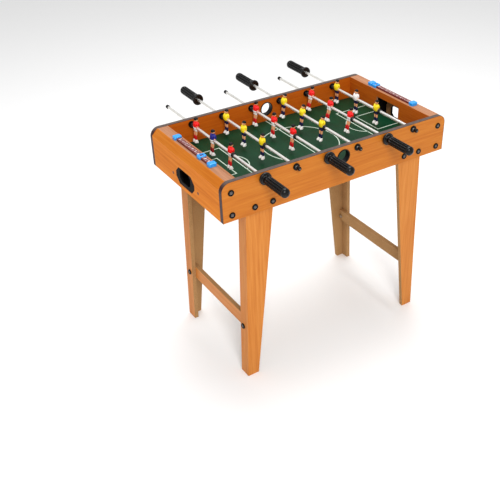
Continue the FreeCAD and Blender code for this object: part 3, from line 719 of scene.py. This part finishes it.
def player_mesh(name, materials, bands):
    """Moulded and painted figure about the rod's axis, facing +X."""
    build = bmesh.new()
    waist, hem, sock = bands
    for side in (-1, 1):
        boot(build, side)
        limb(build, [(-0.6, side * 4.4, BOOT_LINE, 2.5), (-0.7, side * 4.0, -30, 2.9),
                     (-0.9, side * 3.6, -26, 3.3), (-0.8, side * 3.3, sock, 3.2)], SOCKS)
        limb(build, [(-0.6, side * 3.4, sock - 0.6, 2.8), (-0.2, side * 3.3, sock + 3.5, 3.0),
                     (0.0, side * 3.3, hem - 2, 3.4), (0.0, side * 3.3, hem + 3, 3.5)], SKIN)
        limb(build, [(0.1, side * 3.8, hem - 0.2, 4.0), (0.1, side * 3.8, hem + 0.2, 4.4),
                     (0.0, side * 3.6, hem + 3.5, 4.5), (0.0, side * 3.2, min(waist, -1.0), 4.3)], SHORTS)
        limb(build, [(0.0, side * 5.6, 14.8, 2.2), (-0.1, side * 8.0, 13.0, 3.0),
                     (-0.5, side * 8.9, 10.4, 2.7), (-0.6, side * 8.8, 7.6, 2.4),
                     (-0.5, side * 8.2, 6.7, 2.1)], SHIRT)
        limb(build, [(-0.5, side * 8.3, 7.2, 1.9), (0.6, side * 8.4, 3.0, 1.9), (2.2, side * 8.1, -1.0, 1.8),
                     (3.0, side * 7.6, -3.0, 1.2)], SKIN)
        ball(build, (-0.2, side * 5.5, 21.8), (1.1, 0.7, 1.5), SKIN, 6, 10)
    torso = [(17.2, 0.0, 2.6, 2.8), (16.4, 0.0, 3.8, 5.0), (14.6, 0.2, 5.7, 7.6), (11.8, 0.6, 7.6, 8.8),
             (8.0, 0.9, 8.5, 9.0), (4.0, 0.8, 8.3, 8.6), (0.0, 0.5, 7.4, 8.0), (-3.5, 0.2, 6.5, 7.6),
             (-8.0, 0.1, 5.9, 7.6), (-11.0, 0.1, 5.2, 7.2)]
    torso = [station for station in torso if station[0] > hem + 1]
    column(build, torso, [waist], [SHIRT, SHORTS])
    skin_rings(build, [oval((0.1, 0, z), a, a * 1.05, 16) for z, a in
                       ((16.2, 3.2), (17.0, 3.4), (17.6, 3.2), (17.7, 2.7))], TRIM)
    limb(build, [(0.1, 0, 15.5, 2.5), (0.2, 0, 18, 2.4), (0.3, 0, 20, 2.6)], SKIN, 14)
    ball(build, (0.4, 0, 21.8), (5.5, 5.2, 5.3), SKIN)
    ball(build, (-0.3, 0, 23.6), (5.8, 5.7, 4.7), HAIR)
    ball(build, (5.8, 0, 21.0), (0.85, 0.75, 1.1), SKIN, 6, 10)
    for side in (-1, 1):
        ball(build, (5.2, side * 1.9, 22.3), (0.55, 0.7, 0.4), HAIR, 6, 10)
        limb(build, [(0.0, side * 8.0, waist - 1.0, 0.7), (0.0, side * 8.2, (waist + hem) / 2, 0.7),
                     (0.0, side * 8.0, hem + 1.0, 0.7)], TRIM, 8)
    return painted(finished(build, name), *materials)


def kit(name, shirt, shorts, socks, trim, skin, hair, boots):
    """The seven paints of a figure, in the order of the part numbers."""
    return [skin, hair, paint(name + "_shirt", shirt), paint(name + "_shorts", shorts),
            paint(name + "_socks", socks), boots, paint(name + "_trim", trim)]


def add_players():
    """Three figures on each rod, which lean together. The red team faces right and the yellow team left, and
    the middle figure of each outer rod has its own shirt."""
    shared = {"skin": paint("figure_skin", srgb(238, 170, 122)),
              "hair": paint("figure_hair", srgb(9, 8, 9), 0.45, 0.15),
              "boots": paint("figure_boots", srgb(240, 238, 234))}
    red, yellow, blue = srgb(240, 14, 14), srgb(255, 218, 16), srgb(20, 26, 128)
    white, navy = srgb(242, 240, 236), srgb(12, 12, 66)
    kits = {
        "red": kit("red", red, white, srgb(206, 10, 16), red, **shared),
        "blue": kit("blue", blue, white, srgb(140, 14, 16), blue, **shared),
        "yellow": kit("yellow", yellow, navy, navy, navy, **shared),
        "white": kit("white", srgb(240, 234, 232), navy, navy, navy, **shared),
    }
    bands = {"red": RED_BANDS, "blue": RED_BANDS, "yellow": YELLOW_BANDS, "white": YELLOW_BANDS}
    meshes = {name: player_mesh("figure_" + name, paints, bands[name]) for name, paints in kits.items()}
    for rod in range(1, ROD_COUNT + 1):
        axis = sum(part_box(f"rod_{rod}_tube"), Vector()) / 2
        middle = sum(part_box(f"rod_{rod}_bumpers"), Vector()) / 2
        team = "red" if rod % 2 else "yellow"
        facing = 0 if rod % 2 else math.pi
        stance = Matrix.Rotation(math.radians(LEANS[rod - 1]), 4, "Y") @ Matrix.Rotation(facing, 4, "Z")
        leaning = {}
        for row in (-1, 0, 1):
            look = team
            if row == 0 and rod == 1:
                look = "blue"
            if row == 0 and rod == ROD_COUNT:
                look = "white"
            if look not in leaning:
                leaning[look] = meshes[look].copy()
                leaning[look].transform(stance)
            place = Matrix.Translation((axis.x, middle.y + row * PLAYER_SPACING, axis.z))
            figure = new_piece(f"rod_{rod}_player_{row + 2}", leaning[look], f"rod_{rod}",
                               place)
            smoother = figure.modifiers.new("smoother", "SUBSURF")
            smoother.levels = 1
            smoother.render_levels = 1
            if row == 0:
                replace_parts(figure, f"rod_{rod}_players")


# ---------------------------------------------------------------------------------------------------------
# Bolts
# ---------------------------------------------------------------------------------------------------------

END_BOLT_X = 320 * MM
END_BOLT_HEIGHTS = (532.5 * MM, 592 * MM)
LEG_BOLT_XS = (207 * MM, 257.5 * MM)
LEG_BOLT_HEIGHT = 534 * MM
END_BOLT_LENGTH = 28            # in mm, from under the cap
LEG_BOLT_LENGTH = 27.9
STRETCHER_BOLT = (288.57 * MM, 151 * MM, 162 * MM)
LEG_HEIGHT = 551.5
LEG_OUTER_TOP = 275.5           # how far out the leg's outer edge is, in mm
LEG_OUTER_FOOT = 294.0
LEG_LEAN = math.atan2(LEG_OUTER_FOOT - LEG_OUTER_TOP, LEG_HEIGHT)

# Caps and shanks, in mm from the board's face
CAP_RING = [(8.0, 0.0), (8.0, 1.5), (7.5, 2.7), (6.6, 3.3), (5.7, 3.4), (5.0, 3.0), (4.6, 2.2), (4.5, 1.5)]
CAP_CENTRE = [(4.5, 1.5), (4.2, 1.9), (3.3, 2.6), (2.0, 3.1), (0.9, 3.3)]
SHANK_RADIUS = 2.5
SHANK_START = 0.5
SHANK_TIP_RADIUS = 2.0
BOLT_SEGMENTS = 28


def turned(build, profile, material):
    """Shape turned about Z from (radius, z) pairs in mm."""
    angles = [2 * math.pi * i / BOLT_SEGMENTS for i in range(BOLT_SEGMENTS)]
    rings = []
    for radius, z in profile:
        rings.append([Vector((radius * math.cos(a), radius * math.sin(a), z)) * MM for a in angles])
    skin_rings(build, rings, material)


def bolt_mesh(length, places):
    """One mesh of bolts: a black cap ring, a grey domed head in its middle and a steel shank, along +Z. The
    head's pale grey is partly a painted highlight.
    """
    build = bmesh.new()
    for place in places:
        first = len(build.verts)
        turned(build, CAP_RING, 0)
        turned(build, CAP_CENTRE, 1)
        shank = [(SHANK_RADIUS, SHANK_START), (SHANK_RADIUS, SHANK_START - length),
                 (SHANK_TIP_RADIUS, -length)]
        turned(build, shank, 2)
        build.verts.ensure_lookup_table()
        bmesh.ops.transform(build, matrix=place, verts=build.verts[first:])
    return finished(build, "bolts")


def add_bolts():
    ring = moulded("cap_black", srgb(6, 6, 6), 0.24, speckle=0.02, shine=0.14)
    # grey domed head, its pale grey partly a painted highlight
    centre = moulded("cap_centre", srgb(88, 84, 84), 0.28, speckle=0.03, shine=0.35)
    steel = metal("bolt_steel", srgb(206, 206, 204), 0.30)
    half_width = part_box("back_side_board")[1].y
    end_spots = [(side * END_BOLT_X, z) for side in (-1, 1) for z in END_BOLT_HEIGHTS]
    leg_spots = [(side * x, LEG_BOLT_HEIGHT) for side in (-1, 1) for x in LEG_BOLT_XS]
    meshes = []
    for length, spots in ((END_BOLT_LENGTH, end_spots), (LEG_BOLT_LENGTH, leg_spots)):
        places = []
        for side in (-1, 1):
            turn = Matrix.Rotation(math.radians(-90 * side), 4, "X")
            places += [Matrix.Translation((x, side * half_width, z)) @ turn for x, z in spots]
        meshes.append(bolt_mesh(length, places))
    mesh = painted(join("side_bolts", *meshes), ring, centre, steel)
    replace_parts(new_piece("side_bolts", mesh, "table"), "side_board_bolts")
    out, apart, height = STRETCHER_BOLT
    places = []
    for side in (-1, 1):
        turn = Matrix.Rotation(side * (math.pi / 2 - LEG_LEAN), 4, "Y")
        places += [Matrix.Translation((side * out, y * apart, height)) @ turn for y in (-1, 1)]
    mesh = painted(bolt_mesh(LEG_BOLT_LENGTH, places), ring, centre, steel)
    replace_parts(new_piece("leg_bolts", mesh, "table"), "stretcher_bolts")


# ---------------------------------------------------------------------------------------------------------
# Materials of the CAD nodes
# ---------------------------------------------------------------------------------------------------------

def dress(material, *names):
    """Give CAD nodes a material. Their meshes stay as they are."""
    for name in names:
        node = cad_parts[name]
        node.data.materials.clear()
        node.data.materials.append(material)


def rod_cap():
    """Black cap over the end of a rod, with a painted highlight that makes it paler in the middle of its end
    face.
    """
    g = Graph("rod_cap", IOR=1.5, Roughness=0.34)
    g.set("Specular IOR Level", 0.16)
    place = g.axes(g.place())
    steps = g.math("ADD", g.math("DIVIDE", place[0], ROD_SPACING), 0.5)
    across = g.math("MULTIPLY", g.math("SUBTRACT", steps, g.math("ROUND", steps)), ROD_SPACING)
    above = g.math("SUBTRACT", place[2], ROD_HEIGHT)
    fine = g.noise(g.place(FINE_TEXTURE), detail=3)
    # painted highlight: a pale grey spot in the middle of the cap's end face
    pale = g.span(g.distance(across, above), 1.3 * MM, 1.9 * MM, 1.0, 0.0)
    g.set("Base Color", g.mix(pale, srgb(8, 8, 9), srgb(120, 116, 112)))
    g.bump(fine, 0.1, 0.0002)
    return g.material


# How the grain is stretched along each axis
ALONG_X = (0.035, 1.0, 1.0)
ALONG_Y = (1.0, 0.035, 1.0)
ALONG_Z = (1.0, 1.0, 0.035)

# What the laminate's colour is multiplied by on the different boards. The goal walls' tint, the long boards'
# inner-face tint and the end panels' upward-face tint are painted shade.
DEEP = (0.79, 0.80, 0.62)
DEEPER = (1.06, 1.00, 0.55)
SHADED = (0.78, 0.56, 0.28)
PALER = (0.87, 0.98, 1.32)
PINKER = (0.92, 1.11, 2.10)
# painted shade on the inner faces of the long boards
INSIDE_SHADE = (1.0, 0.66, 0.30)
# painted shade on the end panels' upward faces
BEVEL_SHADE = (0.72, 0.74, 1.2)


def dress_boards():
    dress(board("side_laminate", ALONG_X, lambda g: g.math("ABSOLUTE", g.normal()[1]), tint=DEEP,
                inside=INSIDE_SHADE), "front_side_board", "back_side_board")
    dress(board("end_laminate", ALONG_Y, lambda g: outwards(g, 1.0, 0.0, up=1.0), tint=DEEPER,
                bevel=BEVEL_SHADE, shine=0.05), "left_outer_end_panel", "right_outer_end_panel")
    dress(board("goal_wall_laminate", ALONG_Y, lambda g: outwards(g, -1.0, 0.0), tint=SHADED,
                bare=slat_colour), "left_goal_wall", "right_goal_wall")
    dress(board("leg_laminate", ALONG_Z, lambda g: outwards(g, 1.0, 1.0), tint=PALER),
          "front_left_leg", "front_right_leg", "back_left_leg", "back_right_leg")
    dress(board("stretcher_laminate", ALONG_Y, lambda g: outwards(g, 1.0, 0.0), tint=PINKER),
          "left_stretcher", "right_stretcher")
    dress(raw_board(), "end_cleats")
    dress(bare_wood(), "left_top_slat", "right_top_slat")
    dress(edge_band(), "edge_bands")
    dress(pitch(), "playfield")


def dress_fittings():
    dress(moulded("black_plastic", srgb(8, 8, 9), 0.40, speckle=0.02, shine=0.14),
          "ball_entry_rings", "rod_bushings")
    dress(moulded("goal_black", srgb(6, 6, 6), 0.50, speckle=0.01, shine=0.04),
          "left_goal_box", "right_goal_box")
    dress(metal("nut_steel", srgb(206, 206, 204), 0.30), "nuts")
    dress(metal("screw_brown", srgb(84, 48, 28), 0.42), "goal_box_screws")
    dress(moulded("blue_plastic", srgb(20, 150, 234), 0.24, speckle=0.03, coat=0.3),
          "score_end_caps", "left_score_slider", "right_score_slider")
    dress(moulded("score_red", srgb(108, 32, 32), 0.36, shine=0.4), "left_score_scale", "right_score_scale")


def dress_rods():
    steel = metal("rod_steel", srgb(253, 251, 246), 0.24, along=(900, 20, 900), metallic=0.80)
    rubber = moulded("rubber", srgb(14, 14, 15), 0.50, bump=0.3, shine=0.3)
    cap = rod_cap()
    for rod in range(1, ROD_COUNT + 1):
        dress(steel, f"rod_{rod}_tube")
        dress(rubber, f"rod_{rod}_bumpers")
        dress(cap, f"rod_{rod}_end_cap")


# ---------------------------------------------------------------------------------------------------------
# Stage
# ---------------------------------------------------------------------------------------------------------

def add_camera():
    data = bpy.data.cameras.new("camera")
    data.lens = LENS
    data.sensor_width = 36
    data.shift_x, data.shift_y = SHIFT
    camera = in_scene("camera", data)
    camera.location = CAMERA_PLACE
    camera.rotation_euler = (CAMERA_TARGET - CAMERA_PLACE).to_track_quat("-Z", "Y").to_euler()
    bpy.context.scene.camera = camera


def add_floor():
    reach = 8.0
    corners = [(-reach, -reach, 0), (reach, -reach, 0), (reach, reach, 0), (-reach, reach, 0)]
    mesh = bpy.data.meshes.new("floor")
    mesh.from_pydata(corners, [], [(0, 1, 2, 3)])
    g = Graph("floor", Roughness=0.9)
    g.set("Base Color", (0.97, 0.97, 0.97, 1.0))
    in_scene("floor", painted(mesh, g.material))


def add_light(name, place, target, size, power):
    data = bpy.data.lights.new(name, "AREA")
    data.shape = "DISK"
    data.size = size
    data.energy = power
    light = in_scene(name, data)
    light.location = place
    light.rotation_euler = (Vector(target) - Vector(place)).to_track_quat("-Z", "Y").to_euler()


def add_lights():
    world = bpy.data.worlds.new("studio")
    world.use_nodes = True
    background = world.node_tree.nodes["Background"]
    background.inputs["Color"].default_value = (1.0, 1.0, 1.0, 1.0)
    background.inputs["Strength"].default_value = 0.64
    bpy.context.scene.world = world
    add_light("key", (-1.2, -2.6, 2.6), (0, 0, 0.45), 1.3, 72)
    add_light("top", (0.4, 0.6, 2.8), (0, 0, 0.5), 1.6, 44)


dress_boards()
dress_fittings()
dress_rods()
add_pitch_lines()
add_score_numbers()
add_handles()
add_players()
add_bolts()
add_camera()
add_floor()
add_lights()
bpy.context.scene.view_settings.view_transform = "Standard"
